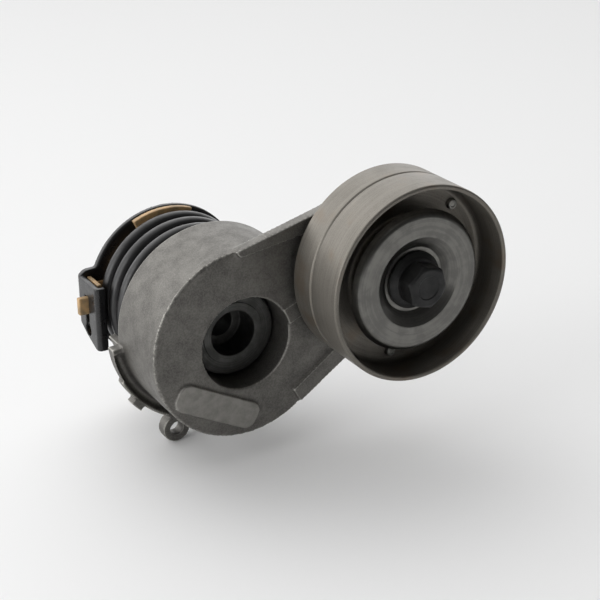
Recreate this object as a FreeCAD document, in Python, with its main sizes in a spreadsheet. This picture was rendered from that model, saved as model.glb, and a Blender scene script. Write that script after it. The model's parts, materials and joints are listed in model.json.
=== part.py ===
"""Belt tensioner with an open coil spring and a smooth pressed pulley.

Frame: the origin lies on the pivot axis, in the rear mounting face. +Z is up, +X is right and
the front of the tensioner looks along -Y. "Front distance" below means millimetres forward of
the mounting face, so a front distance of 69 is Y = -69.

The arm is drawn lying along +X and turned up about the pivot axis by rest_angle.
"""
import FreeCAD
import Part
import Sketcher
import math
import os

Vector = FreeCAD.Vector
Rotation = FreeCAD.Rotation
Placement = FreeCAD.Placement
FORWARD = Vector(0, -1, 0)

doc = FreeCAD.newDocument("belt_tensioner")
sheet = doc.addObject("Spreadsheet::Sheet", "Sheet")

# Driving dimensions: alias, value in millimetres or degrees, what it is.
SIZES = [
    ("arm_length", 59.9, "pivot axis to pulley axis"),
    ("rest_angle", 22.4, "arm above horizontal at the free stop"),
    # base plate and its bracket
    ("plate_radius", 32.6, "pressed base plate"),
    ("plate_sheet", 2.5, "base plate thickness"),
    ("spigot_radius", 12, "pivot tube spigot through the plate"),
    ("bracket_left", 37.2, "outer face of the bracket wall, left of the axis"),
    ("bracket_sheet", 2.2, "bracket wall thickness"),
    ("bracket_front", 18.5, "front distance of the bracket's front flange"),
    ("bracket_top", 10.4, "bracket top above the axis"),
    ("bracket_bottom", 15.6, "bracket bottom below the axis"),
    ("bracket_lip", 4.2, "width of the front flange"),
    ("window_rear", 7.1, "tab window in the bracket wall, rear edge"),
    ("window_width", 3.3, "tab window, front to back"),
    ("window_top", 4.6, "tab window top above the axis"),
    ("window_bottom", 9.6, "tab window bottom below the axis"),
    ("dowel_radius", 3, "anti-rotation dowel"),
    ("dowel_length", 6, "dowel behind the mounting face"),
    ("dowel_stub", 2.4, "dowel's thinner end, pressed into the plate"),
    ("dowel_relief", 0.5, "undercut where the dowel leaves the plate"),
    ("dowel_drop", 26, "dowel below the pivot axis"),
    # pivot tube and its washers
    ("bolt_bore", 5.3, "clearance bore radius for an M10 mounting bolt"),
    ("counterbore", 8.9, "counterbore radius for an M10 socket head"),
    ("counterbore_floor", 47.5, "front distance of the counterbore floor"),
    ("tube_radius", 11, "pivot tube outside"),
    ("tube_flange", 15.5, "pivot tube rear flange radius"),
    ("tube_flange_front", 5.5, "front distance of the rear flange"),
    ("tube_front", 58.7, "front distance of the swaged lip"),
    ("lip_radius", 12.2, "swaged lip radius"),
    ("washer_radius", 16.8, "front thrust washer"),
    ("washer_front", 58.3, "front distance of the thrust washer"),
    ("washer_sheet", 2, "thrust washer thickness"),
    ("run_gap", 0.05, "running gap"),
    # arm casting
    ("drum_radius", 37.2, "spring drum outside"),
    ("drum_rear", 38, "front distance of the open drum edge"),
    ("drum_front", 69, "front distance of the drum face"),
    ("pocket_radius", 33.2, "spring pocket outside"),
    ("pocket_core", 21.6, "spring pocket inside"),
    ("pocket_front", 60.4, "front distance of the spring pocket floor"),
    ("recess_radius", 17.9, "recess in the drum face"),
    ("recess_floor", 54.3, "front distance of the recess floor"),
    ("hub_radius", 17.5, "pivot hub outside"),
    ("hub_rear", 10, "front distance of the hub's rear end"),
    ("hub_bore", 13, "bore for the pivot bushes"),
    ("neck_sheet", 3, "neck plate thickness"),
    ("rib_rear", 53, "front distance of the neck ribs' rear edge"),
    ("end_radius", 26.6, "rounded end of the arm"),
    ("end_rise", 2.2, "rounded end above the arm line"),
    ("end_rear", 62, "front distance of the rounded end's rear face"),
    ("boss_radius", 13, "pulley boss"),
    ("boss_front", 79.5, "front distance of the pulley boss"),
    ("border_height", 1.5, "raised border and rib on the neck"),
    ("key_width", 6.8, "raised rib from recess to boss"),
    ("pad_length", 36.4, "raised pad"),
    ("pad_width", 10.7, "raised pad"),
    ("pad_height", 1, "raised pad"),
    ("pad_corner", 4, "raised pad corner radius"),
    ("pad_turn", 50.4, "raised pad's slope below the arm line"),
    ("skirt_radius", 42.4, "rear skirt"),
    ("skirt_rear", 37, "front distance of the skirt's rear face"),
    ("skirt_depth", 4.5, "rear skirt thickness"),
    ("lug_radius", 5.6, "locking lug"),
    ("lug_reach", 46.4, "locking lug hole from the pivot axis"),
    ("lug_hole", 2.6, "locking pin hole radius"),
    ("stop_reach", 22, "outer end of the stops"),
    ("stop_width", 4, "width of the arm's stop"),
    ("travel", 50, "arm travel in degrees"),
    # spring
    ("wire", 2.8, "spring wire radius"),
    ("coil_radius", 29, "spring mean radius"),
    ("coil_pitch", 7.5, "spring pitch"),
    ("coil_rear", 6.3, "front distance of the first wire centre"),
    ("coil_front", 57.3, "front distance of the last wire centre"),
    ("seat_inner", 22.6, "spring seat inside radius"),
    ("seat_outer", 27, "spring seat outside radius"),
    ("seat_key", 34.2, "outer face of the upright key inside the bracket"),
    ("wedge_outer", 32.4, "outside radius of the wedge under the first coil"),
    ("guide_radius", 25.8, "guide inside the first coil"),
    ("guide_front", 8, "front distance of the guide's edge"),
    # bearing 17 x 40 x 12
    ("bearing_rear", 81, "front distance of the bearing's rear face"),
    ("bearing_width", 12, "bearing width"),
    ("race_bore", 8.5, "inner race bore radius"),
    ("race_outside", 20, "outer race outside radius"),
    ("inner_shoulder", 11.6, "inner race shoulder radius"),
    ("outer_shoulder", 17, "outer race shoulder radius"),
    ("ball_radius", 3.35, "bearing ball"),
    ("ball_circle", 14.3, "radius of the ball circle"),
    ("cage_width", 8.2, "ball cage, front to back"),
    ("seal_sheet", 0.8, "bearing seal thickness"),
    # pulley
    ("pulley_radius", 37.5, "belt face"),
    ("pulley_rear", 72.2, "front distance of the rear rim edge"),
    ("pulley_seam", 84.2, "front distance of the seam between the shells"),
    ("pulley_front", 100.8, "front distance of the front rim edge"),
    ("shell_sheet", 1.9, "shell sheet thickness"),
    ("seam_groove", 0.5, "depth of the seam groove"),
    ("collar_outer", 21.7, "bearing collar outside"),
    ("collar_lip", 18.6, "turned-in lip of the collar"),
    ("rivet_circle", 31.2, "rivets from the pulley axis"),
    ("rivet_shank", 1.5, "rivet shank radius"),
    ("rivet_head", 2.1, "rivet head radius"),
    ("rivet_height", 1.5, "rivet head height"),
    ("rivet_phase", 46.5, "angle of the first rivet"),
    # dust shields, sleeve and bolt
    ("shield_sheet", 1, "dust shield thickness"),
    ("shield_lip", 27.2, "front dust shield outside"),
    ("shield_front", 98, "front distance of the raised ring"),
    ("sleeve_flange", 11.2, "bearing sleeve flange radius"),
    ("bolt_radius", 5, "pulley bolt"),
    ("bolt_seat", 94, "front distance of the bolt flange seat"),
    ("bolt_flange", 10.95, "bolt flange radius"),
    ("bolt_head", 10, "bolt head height with its flange"),
    ("hex_across", 15, "hexagon across flats"),
    ("bolt_length", 38, "bolt below its head"),
]


def fill_sheet():
    """Write each driving dimension as a plain number with an alias and a note."""
    for row, (alias, value, note) in enumerate(SIZES, start=1):
        sheet.set(f"A{row}", note)
        sheet.set(f"B{row}", str(value))
        sheet.setAlias(f"B{row}", alias)
    doc.recompute()


def size(alias):
    return float(sheet.get(alias))


def cells(expression):
    """Turn bare aliases in an expression into references to the sheet."""
    words = []
    for word in str(expression).split():
        known = word.lstrip("-") in ALIASES
        words.append(word.replace(word.lstrip("-"), "Sheet." + word.lstrip("-")) if known else word)
    return " ".join(words)


ALIASES = {alias for alias, _, _ in SIZES}


def bind(thing, **properties):
    """Bind properties of an object to expressions; a double underscore stands for a dot."""
    for name, expression in properties.items():
        thing.setExpression(name.replace("__", "."), cells(expression))


def new_body(label, group="base"):
    """A PartDesign body in the base frame, the arm frame or the pulley frame."""
    body = doc.addObject("PartDesign::Body", label)
    body.Label = label
    if group == "arm":
        body.Placement = Placement(Vector(), Rotation(FORWARD, 10))
        bind(body, Placement__Rotation__Angle="rest_angle")
    if group == "pulley":
        to_pulley_axis(body)
    return body


def to_pulley_axis(thing):
    """Move an object from the pivot axis to the pulley axis."""
    bind(thing, Placement__Base__x="arm_length * cos( rest_angle * 1 deg )",
         Placement__Base__z="arm_length * sin( rest_angle * 1 deg )")


def origin_part(body, role):
    return next(part for part in body.Origin.OriginFeatures if part.Role == role)


def face_front(body, feature, x=0, z=0, front=0, turn=0):
    """Attach a feature to the body's XZ plane, moved forward, so that it looks to the front."""
    feature.AttachmentSupport = (origin_part(body, "XZ_Plane"), [""])
    feature.MapMode = "FlatFace"
    feature.AttachmentOffset = Placement(Vector(), Rotation(Vector(0, 0, 1), 1))
    bind(feature, AttachmentOffset__Base__x=x, AttachmentOffset__Base__y=z,
         AttachmentOffset__Base__z=front, AttachmentOffset__Rotation__Angle=turn)


def draw_outline(sketch, corners):
    """A closed outline of straight lines; each corner is two bound distances from the origin."""
    count = len(corners)
    for index in range(count):
        here = Vector(math.cos(6.28 * index / count), math.sin(6.28 * index / count), 0)
        after = Vector(math.cos(6.28 * (index + 1) / count), math.sin(6.28 * (index + 1) / count), 0)
        sketch.addGeometry(Part.LineSegment(here, after), False)
    for index in range(count):
        sketch.addConstraint(Sketcher.Constraint("Coincident", index, 2, (index + 1) % count, 1))
    for index, corner in enumerate(corners):
        for direction, expression in zip(("DistanceX", "DistanceY"), corner):
            place = sketch.addConstraint(Sketcher.Constraint(direction, -1, 1, index, 1, 1.0))
            sketch.setExpression(f"Constraints[{place}]", cells(expression))


def ring(body, name, corners, cut=False, rounds=None):
    """Turn a profile of (radius, front distance) corners about the body's Y axis.

    rounds maps a corner's number to the radius that rounds the edge it makes.
    """
    sketch = body.newObject("Sketcher::SketchObject", name + "_profile")
    sketch.AttachmentSupport = (origin_part(body, "XY_Plane"), [""])
    sketch.MapMode = "FlatFace"
    draw_outline(sketch, [(radius, f"-1 * ( {front} )") for radius, front in corners])
    kind = "PartDesign::Groove" if cut else "PartDesign::Revolution"
    turned = body.newObject(kind, name)
    turned.Profile = sketch
    turned.ReferenceAxis = (sketch, ["V_Axis"])
    turned.Angle = 360
    doc.recompute()
    groups = {}
    for corner, radius in (rounds or {}).items():
        groups.setdefault(radius, []).append(sketch.getPoint(corner, 1))
    for radius, points in groups.items():
        def at_corner(edge):
            return any(circle_at(edge, point.x, -point.y) for point in points)
        round_edges(body, f"{name}_round", at_corner, radius)
    return turned


def circle_at(edge, radius, front):
    """True for a circular edge about the body's Y axis at this radius and front distance."""
    curve = edge.Curve
    if not isinstance(curve, Part.Circle):
        return False
    centre = curve.Center
    return (abs(curve.Radius - radius) < 0.01 and abs(centre.y + front) < 0.01
            and math.hypot(centre.x, centre.z) < 0.01)


def round_edges(body, name, wanted, radius):
    """Round every edge of the body's tip that wanted() accepts, which reads body coordinates."""
    doc.recompute()
    tip = body.Tip
    names = [f"Edge{number}" for number, edge in enumerate(tip.Shape.Edges, start=1) if wanted(edge)]
    fillet = body.newObject("PartDesign::Fillet", name)
    fillet.Base = (tip, names)
    fillet.Radius = float(radius)
    doc.recompute()
    return fillet


def disc(body, name, radius, start, height, x=0, z=0, cut=False, sector=360, turn=0):
    """A cylinder, or a sector of one, whose axis runs forward from a front distance."""
    kind = "PartDesign::SubtractiveCylinder" if cut else "PartDesign::AdditiveCylinder"
    cylinder = body.newObject(kind, name)
    face_front(body, cylinder, x, z, start, turn)
    bind(cylinder, Radius=radius, Height=height)
    cylinder.Angle = sector
    return cylinder


def block(body, name, x, z, start, length, width, height, cut=False):
    """A box from (x, z, front distance), measured right, up and forward."""
    kind = "PartDesign::SubtractiveBox" if cut else "PartDesign::AdditiveBox"
    box = body.newObject(kind, name)
    face_front(body, box, x, z, start)
    bind(box, Length=length, Width=width, Height=height)
    return box


def plate(body, name, corners, start, height, cut=False):
    """A flat plate with a straight-sided outline, from a front distance forward."""
    sketch = body.newObject("Sketcher::SketchObject", name + "_outline")
    face_front(body, sketch, front=start)
    draw_outline(sketch, corners)
    kind = "PartDesign::Pocket" if cut else "PartDesign::Pad"
    feature = body.newObject(kind, name)
    feature.Profile = sketch
    feature.Reversed = cut
    bind(feature, Length=height)
    return feature


def along_y(edge):
    """True for a straight edge that runs front to back."""
    ends = edge.Vertexes
    return (isinstance(edge.Curve, Part.Line) and abs(ends[0].X - ends[-1].X) < 0.01
            and abs(ends[0].Z - ends[-1].Z) < 0.01)


# --- base -----------------------------------------------------------------------------------

def base_plate():
    """Pressed disc with an ear on the left, bent forward into a bracket with a tab window."""
    body = new_body("base_plate")
    ring(body, "plate_disc", [("spigot_radius", "0"), ("plate_radius", "0"),
                              ("plate_radius", "plate_sheet"), ("spigot_radius", "plate_sheet")],
         rounds={1: 0.5, 2: 0.9})
    plate(body, "ear", [("-28", "12.8"), ("-34.4", "12.2"), ("-1 * bracket_left", "bracket_top"),
                        ("-1 * bracket_left", "-9"), ("-33", "-13"), ("-26", "-13")],
          "0", "plate_sheet")
    wall = body.newObject("Sketcher::SketchObject", "wall_outline")
    wall.AttachmentSupport = (origin_part(body, "YZ_Plane"), [""])
    wall.MapMode = "FlatFace"
    bind(wall, AttachmentOffset__Base__z="-1 * bracket_left")
    draw_outline(wall, [("-0.6", "bracket_top"), ("-1 * bracket_front", "bracket_top"),
                        ("-1 * bracket_front", "-1 * bracket_bottom"),
                        ("-15.5", "-1 * bracket_bottom"), ("-7.5", "-12.6"), ("-0.6", "-8.8")])
    side = body.newObject("PartDesign::Pad", "wall")
    side.Profile = wall
    bind(side, Length="bracket_sheet")
    block(body, "front_flange", "-1 * bracket_left", "-1 * bracket_bottom",
          "bracket_front - bracket_sheet", "bracket_lip", "bracket_top + bracket_bottom",
          "bracket_sheet")
    block(body, "tab_window", "-1 * bracket_left - 1", "-1 * window_bottom", "window_rear",
          "bracket_sheet + 2", "window_top + window_bottom", "window_width", cut=True)

    hole = body.newObject("PartDesign::SubtractiveCylinder", "window_eye")
    hole.AttachmentSupport = (origin_part(body, "YZ_Plane"), [""])
    hole.MapMode = "FlatFace"
    bind(hole, Radius="window_width * 0.8", Height="bracket_sheet + 2",
         AttachmentOffset__Base__x="-1 * window_rear - window_width * 0.5",
         AttachmentOffset__Base__y="-1 * window_bottom",
         AttachmentOffset__Base__z="-1 * bracket_left - 1")
    disc(body, "dowel_hole", "dowel_stub", "-1", "plate_sheet + 2", z="-1 * dowel_drop", cut=True)
    disc(body, "dowel_clearance", "dowel_radius + 0.1", "-1", "dowel_relief + 1",
         z="-1 * dowel_drop", cut=True)

    for number, angle in enumerate((stop_angle(0), stop_angle(1))):
        stop = body.newObject("PartDesign::AdditiveBox", f"stop_tab_{number}")
        face_front(body, stop, turn=angle)
        reach = "stop_reach - hub_radius - 0.8"
        bind(stop, Length=reach, Width="stop_width - 1", Height="plate_sheet + 6")
        swing = math.radians(angle)
        inner = size("hub_radius") + 0.8
        half = (size("stop_width") - 1) / 2
        bind(stop,
             AttachmentOffset__Base__x=inner * math.cos(swing) + half * math.sin(swing),
             AttachmentOffset__Base__y=inner * math.sin(swing) - half * math.cos(swing))

    def bend(edge):
        """Outer bend lines of the bracket: rear and front edges of the wall's outside."""
        ends = edge.Vertexes
        upright = abs(ends[0].X - ends[-1].X) < 0.01 and abs(ends[0].Y - ends[-1].Y) < 0.01
        outside = abs(ends[0].X + size("bracket_left")) < 0.01
        front = abs(ends[0].Y + size("bracket_front")) < 0.01
        rear = abs(ends[0].Y) < 0.01
        return upright and outside and (front or rear)
    round_edges(body, "bend", bend, 1.8)
    return body


def stop_angle(limit):
    """Angle of a base stop, from the right, at the free stop (0) or the full travel (1)."""
    arm_stop = 180 + size("rest_angle") + limit * size("travel")
    half = math.degrees(math.atan((size("stop_width") - 0.5) / 20 + 0.02))
    return arm_stop + (half if limit else -half)


def dowel():
    """Anti-rotation pin pressed into the plate, standing out behind the mounting face."""
    body = new_body("locating_pin")
    disc(body, "stub", "dowel_stub", "-1 * dowel_length + 1", "dowel_length + plate_sheet - 1",
         z="-1 * dowel_drop")
    pin = disc(body, "pin", "dowel_radius", "-1 * dowel_length", "dowel_length - dowel_relief",
               z="-1 * dowel_drop")
    doc.recompute()
    tip_edges = [f"Edge{number}" for number, edge in enumerate(pin.Shape.Edges, start=1)
                 if isinstance(edge.Curve, Part.Circle)
                 and abs(edge.Curve.Center.y - size("dowel_length")) < 0.01]
    chamfer = body.newObject("PartDesign::Chamfer", "lead_in")
    chamfer.Base = (pin, tip_edges)
    chamfer.Size = 0.8
    return body


def pivot_tube():
    """Steel tube that the mounting bolt clamps: rear flange, counterbore and swaged front lip."""
    body = new_body("pivot_tube")
    ring(body, "tube", [("bolt_bore", "0"), ("spigot_radius", "0"),
                        ("spigot_radius", "plate_sheet"), ("tube_flange", "plate_sheet"),
                        ("tube_flange", "tube_flange_front"), ("tube_radius", "tube_flange_front"),
                        ("tube_radius", "washer_front"), ("lip_radius", "washer_front"),
                        ("lip_radius", "tube_front"), ("counterbore", "tube_front"),
                        ("counterbore", "counterbore_floor"), ("bolt_bore", "counterbore_floor")],
         rounds={9: 0.4})
    return body


def front_thrust_washer():
    body = new_body("front_thrust_washer")
    ring(body, "washer", [("tube_radius", "washer_front - washer_sheet"),
                          ("washer_radius", "washer_front - washer_sheet"),
                          ("washer_radius", "washer_front"), ("tube_radius", "washer_front")],
         rounds={2: 0.6})
    return body


def rear_thrust_ring():
    """Polymer ring between the tube's rear flange and the arm's hub."""
    body = new_body("rear_thrust_ring")
    ring(body, "ring", [("tube_radius", "tube_flange_front"), ("hub_radius - 1", "tube_flange_front"),
                        ("hub_radius - 1", "hub_rear - run_gap"),
                        ("tube_radius", "hub_rear - run_gap")])
    return body


def spring_seat():
    """Tan polymer seat under the spring: ring, inner guide, wedge under the coil, keyed tab."""
    body = new_body("spring_seat")
    ring(body, "seat_ring", [("seat_inner", "plate_sheet"), ("seat_outer", "plate_sheet"),
                             ("seat_outer", "plate_sheet + 0.9"),
                             ("guide_radius", "plate_sheet + 0.9"),
                             ("guide_radius", "guide_front"), ("seat_inner", "guide_front")])
    disc(body, "wedge", "wedge_outer", "plate_sheet", "2.5", sector=46, turn=70)
    disc(body, "wedge_relief", "guide_radius - 0.3", "guide_front", "10", cut=True)
    ring(body, "clear_centre", [("0", "0"), ("seat_inner", "0"), ("seat_inner", "20"), ("0", "20")],
         cut=True)
    inside_wall = "-1 * bracket_left + bracket_sheet + 0.1"
    block(body, "key", "-1 * seat_key", "-9.5", "plate_sheet", "1.8", "19.3", "10.5")
    block(body, "key_web", inside_wall, "-7", "plate_sheet", "seat_key - 25", "14", "0.9")
    block(body, "tab", "-1 * bracket_left - 3.6", "-2.7", "window_rear + 0.3", "7", "6.9",
          "window_width - 0.6")
    return body


def spring():
    """Heavy coil spring, one helix from the base seat to the drum's pocket floor."""
    helix = doc.addObject("Part::Helix", "coil_line")
    bind(helix, Pitch="coil_pitch", Height="coil_front - coil_rear", Radius="coil_radius")
    section = doc.addObject("Part::Circle", "coil_section")
    section.Placement = Placement(Vector(1, 0, 0), Rotation(Vector(1, 0, 0), 90))
    bind(section, Radius="wire", Placement__Base__x="coil_radius")
    coil = doc.addObject("Part::Sweep", "spring")
    coil.Label = "spring"
    coil.Sections = [section]
    coil.Spine = (helix, [])
    coil.Solid = True
    coil.Frenet = True
    # the helix climbs along Z, so it is laid down to climb forward and turned to its start
    start = size("rest_angle") - 50.4
    coil.Placement = Placement(Vector(0, -size("coil_rear"), 0),
                               Rotation(FORWARD, start) * Rotation(Vector(1, 0, 0), 90))
    bind(coil, Placement__Base__y="-1 * coil_rear")
    return coil


# --- arm ------------------------------------------------------------------------------------

def polar(radius, angle):
    """A corner in the arm frame from a radius and an angle above the arm line."""
    turn = math.radians(angle)
    return (f"{radius * math.cos(turn):.3f}", f"{radius * math.sin(turn):.3f}")


def arm_casting():
    """Die-cast arm: drum over the spring, hub, ribbed neck, rounded end and pulley boss."""
    body = new_body("arm_casting", "arm")
    ring(body, "drum", [("0", "hub_rear"), ("hub_radius", "hub_rear"), ("hub_radius", "drum_rear"),
                        ("drum_radius", "drum_rear"), ("drum_radius", "drum_front"),
                        ("0", "drum_front")], rounds={4: 0.8})
    plate(body, "neck", [("4", "-36.6"), ("64", "-24"), ("64", "28.8"), ("5", "36.6")],
          "drum_front - neck_sheet", "neck_sheet")
    plate(body, "neck_ribs", [("10", "-29"), ("60", "-20"), ("60", "22"), ("10", "28")],
          "rib_rear", "drum_front - rib_rear - 1")
    disc(body, "rounded_end", "end_radius", "end_rear", "drum_front - end_rear",
         x="arm_length", z="end_rise")
    disc(body, "rear_boss", "boss_radius - 1", "rib_rear", "end_rear - rib_rear + 1",
         x="arm_length")
    disc(body, "pulley_boss", "boss_radius", "drum_front - 1", "boss_front - drum_front + 1",
         x="arm_length")
    arm_skirt(body)
    arm_face(body)

    # hollows: recess and hub bore, then the spring pocket, then the cells between the ribs
    ring(body, "bore", [("0", "0"), ("hub_bore", "0"), ("hub_bore", "recess_floor"),
                        ("recess_radius", "recess_floor"), ("recess_radius", "drum_front + 5"),
                        ("0", "drum_front + 5")], cut=True)
    ring(body, "spring_pocket", [("hub_radius", "hub_rear - 1"), ("60", "hub_rear - 1"),
                                 ("60", "drum_rear - 1"), ("pocket_radius", "drum_rear - 1"),
                                 ("pocket_radius", "pocket_front"), ("pocket_core", "pocket_front"),
                                 ("pocket_core", "recess_floor - 3"),
                                 ("hub_radius", "recess_floor - 5")], cut=True)
    for side, low, high in (("upper", "1.5", "20.5"), ("lower", "-21", "-1.5")):
        plate(body, f"{side}_cell", [("drum_radius + 2.5", low), ("45.5", low), ("45.5", high),
                                     ("drum_radius + 2.5", high)],
              "rib_rear", "drum_front - rib_rear - neck_sheet", cut=True)
    disc(body, "bolt_hole", "bolt_radius", "rib_rear + 2", "boss_front - rib_rear",
         x="arm_length", cut=True)
    arm_stop(body)
    arm_prong(body)
    round_casting(body)
    return body


def arm_skirt(body):
    """Skirt low on the drum's open edge, with a small tooth and the locking lug."""
    start = 186 - size("rest_angle")
    disc(body, "skirt", "skirt_radius - 1", "skirt_rear", "skirt_depth", sector=30, turn=start)
    disc(body, "skirt_wide", "skirt_radius", "skirt_rear", "skirt_depth", sector=40,
         turn=start + 20)
    disc(body, "skirt_tooth", "skirt_radius + 2.2", "skirt_rear", "skirt_depth", sector=7,
         turn=start + 33)
    lug = math.radians(start + 63)
    reach = size("lug_reach")
    disc(body, "lock_lug", "lug_radius", "skirt_rear - 1", "skirt_depth + 1.5",
         x=reach * math.cos(lug), z=reach * math.sin(lug))
    disc(body, "lock_hole", "lug_hole", "skirt_rear - 3", "skirt_depth + 6",
         x=reach * math.cos(lug), z=reach * math.sin(lug), cut=True)


def arm_prong(body):
    """Short prong that reaches back from the drum's open edge towards the bracket."""
    angle = 194 - size("rest_angle")
    swing = math.radians(angle)
    prong = body.newObject("PartDesign::AdditiveWedge", "prong")
    half = 4
    corner_x = size("pocket_radius") * math.cos(swing) + half * math.sin(swing) + 0.8 * math.cos(swing)
    corner_z = size("pocket_radius") * math.sin(swing) - half * math.cos(swing) + 0.8 * math.sin(swing)
    face_front(body, prong, corner_x, corner_z, "drum_rear - 11", angle)
    # the wedge narrows from the drum edge to its tip, which faces the base
    prong.Xmin, prong.Xmax = 0, 2.8
    prong.Ymin, prong.Ymax = 0, 2 * half
    prong.Zmin, prong.Zmax = 0, 12
    prong.X2min, prong.X2max = 0, 2.8
    prong.Z2min, prong.Z2max = 7, 12


def arm_face(body):
    """Raised shapes on the front: two borders, the rib from recess to boss and the pad."""
    plate(body, "upper_border", [("11", "32.9"), ("58", "21.5"), ("58", "29.55"), ("10", "35.95")],
          "drum_front", "border_height")
    plate(body, "lower_border", [("9.5", "-35.4"), ("58", "-25.2"), ("58", "-17.5"),
                                 ("8.6", "-29")], "drum_front", "border_height")
    block(body, "rib", "16", "0.7 - key_width / 2", "drum_front", "arm_length - 16 - 5",
          "key_width", "border_height")
    pad = body.newObject("PartDesign::AdditiveBox", "pad")
    turn = -size("pad_turn")
    swing = math.radians(turn)
    half_long, half_wide = size("pad_length") / 2, size("pad_width") / 2
    corner_x = -20.2 - half_long * math.cos(swing) + half_wide * math.sin(swing)
    corner_z = -16.0 - half_long * math.sin(swing) - half_wide * math.cos(swing)
    face_front(body, pad, corner_x, corner_z, "drum_front", "-1 * pad_turn")
    bind(pad, Length="pad_length", Width="pad_width", Height="pad_height")

    def pad_corner(edge):
        return along_y(edge) and abs(edge.Length - size("pad_height")) < 0.01 and edge.Vertexes[0].X < 8
    round_edges(body, "pad_corners", pad_corner, size("pad_corner"))


def arm_stop(body):
    """Stop on the hub's rear end, opposite the pulley, which runs between the base stops."""
    block(body, "stop", "-1 * stop_reach", "-1 * stop_width / 2", "plate_sheet + 1",
          "stop_reach - hub_radius - 0.5", "stop_width", "12")
    block(body, "stop_root", "-1 * stop_reach", "-1 * stop_width / 2", "hub_rear + 0.5",
          "stop_reach - hub_bore - 1", "stop_width", "5")


def round_casting(body):
    """Round the recess edge, as a die leaves it."""
    def recess_edge(edge):
        curve = edge.Curve
        return (isinstance(curve, Part.Circle) and abs(curve.Radius - size("recess_radius")) < 0.01
                and abs(curve.Center.y + size("drum_front")) < 0.01)
    round_edges(body, "recess_edge_round", recess_edge, 0.5)


def pivot_bush(label, start):
    """Plain polymer bush pressed into the hub, running on the pivot tube."""
    body = new_body(label, "arm")
    ring(body, "bush", [("tube_radius + run_gap", start), ("hub_bore", start),
                        ("hub_bore", f"{start} + 16"), ("tube_radius + run_gap", f"{start} + 16")])
    return body


def damping_ring():
    """Friction ring on the recess floor, rubbing on the front thrust washer."""
    body = new_body("damping_ring", "arm")
    top = "washer_front - washer_sheet - run_gap"
    ring(body, "ring", [("tube_radius + 0.4", "recess_floor"), ("washer_radius + 0.4", "recess_floor"),
                        ("washer_radius + 0.4", top), ("tube_radius + 0.4", top)])
    return body


def bearing_sleeve():
    """Stepped sleeve that fills the bearing bore down to the bolt."""
    body = new_body("bearing_sleeve", "pulley")
    rear = "bearing_rear - 0.7"
    front = "bearing_rear + bearing_width"
    ring(body, "sleeve", [("bolt_radius + 0.2", rear), ("sleeve_flange", rear),
                          ("sleeve_flange", "bearing_rear"), ("race_bore", "bearing_rear"),
                          ("race_bore", front), ("bolt_radius + 0.2", front)])
    return body


def bearing_inner_race():
    body = new_body("bearing_inner_race", "pulley")
    front = "bearing_rear + bearing_width"
    ring(body, "race", [("race_bore", "bearing_rear"), ("inner_shoulder", "bearing_rear"),
                        ("inner_shoulder", front), ("race_bore", front)])
    cut_ball_track(body)
    return body


def cut_ball_track(body):
    """Groove a race with a round section a little larger than the balls."""
    solid = body.Shape.Volume
    sketch = body.newObject("Sketcher::SketchObject", "track_profile")
    sketch.AttachmentSupport = (origin_part(body, "XY_Plane"), [""])
    sketch.MapMode = "FlatFace"
    across, rear = size("ball_circle"), size("bearing_rear") + size("bearing_width") / 2
    sketch.addGeometry(Part.Circle(Vector(across, -rear, 0), Vector(0, 0, 1), size("ball_radius")))
    sketch.addConstraint(Sketcher.Constraint("Radius", 0, size("ball_radius")))
    sketch.addConstraint(Sketcher.Constraint("DistanceX", -1, 1, 0, 3, across))
    sketch.addConstraint(Sketcher.Constraint("DistanceY", 0, 3, -1, 1, rear))
    sketch.setExpression("Constraints[0]", cells("ball_radius + run_gap"))
    sketch.setExpression("Constraints[1]", cells("ball_circle"))
    sketch.setExpression("Constraints[2]", cells("bearing_rear + bearing_width / 2"))
    track = body.newObject("PartDesign::Groove", "ball_track")
    track.Profile = sketch
    track.ReferenceAxis = (sketch, ["V_Axis"])
    track.Angle = 360
    doc.recompute()
    print(body.Label, "ball track removes", round(solid - body.Shape.Volume, 1), "mm3")


def rear_dust_shield():
    """Pressed shield between the boss and the bearing, dished back round the bearing collar."""
    body = new_body("rear_dust_shield", "pulley")
    ring(body, "shield", [("bolt_radius + 0.2", "boss_front"), ("14.2", "boss_front"),
                          ("16.2", "boss_front - 1.6"), ("25", "boss_front - 1.6"),
                          ("25", "boss_front - 0.8"), ("16.5", "boss_front - 0.8"),
                          ("14.6", "boss_front + 0.8"), ("bolt_radius + 0.2", "boss_front + 0.8")])
    return body


def front_dust_shield():
    """Pressed shield under the bolt: flat centre, dish, raised ring and a rolled-back lip."""
    body = new_body("front_dust_shield", "pulley")
    sheet_back = "shield_front - shield_sheet"
    ring(body, "shield", [
        ("bolt_radius + 0.2", "bolt_seat - shield_sheet"), ("13.2", "bolt_seat - shield_sheet"),
        ("17.6", sheet_back), ("shield_lip - 2.4", sheet_back),
        ("shield_lip - shield_sheet", "shield_front - 3.2"), ("shield_lip", "shield_front - 3"),
        ("shield_lip - 1.9", "shield_front"), ("17.3", "shield_front"),
        ("14.4", "shield_front - 2.2"), ("12.4", "bolt_seat"), ("bolt_radius + 0.2", "bolt_seat")],
         rounds={3: 1.0, 6: 2.0, 7: 0.5})
    return body


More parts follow.
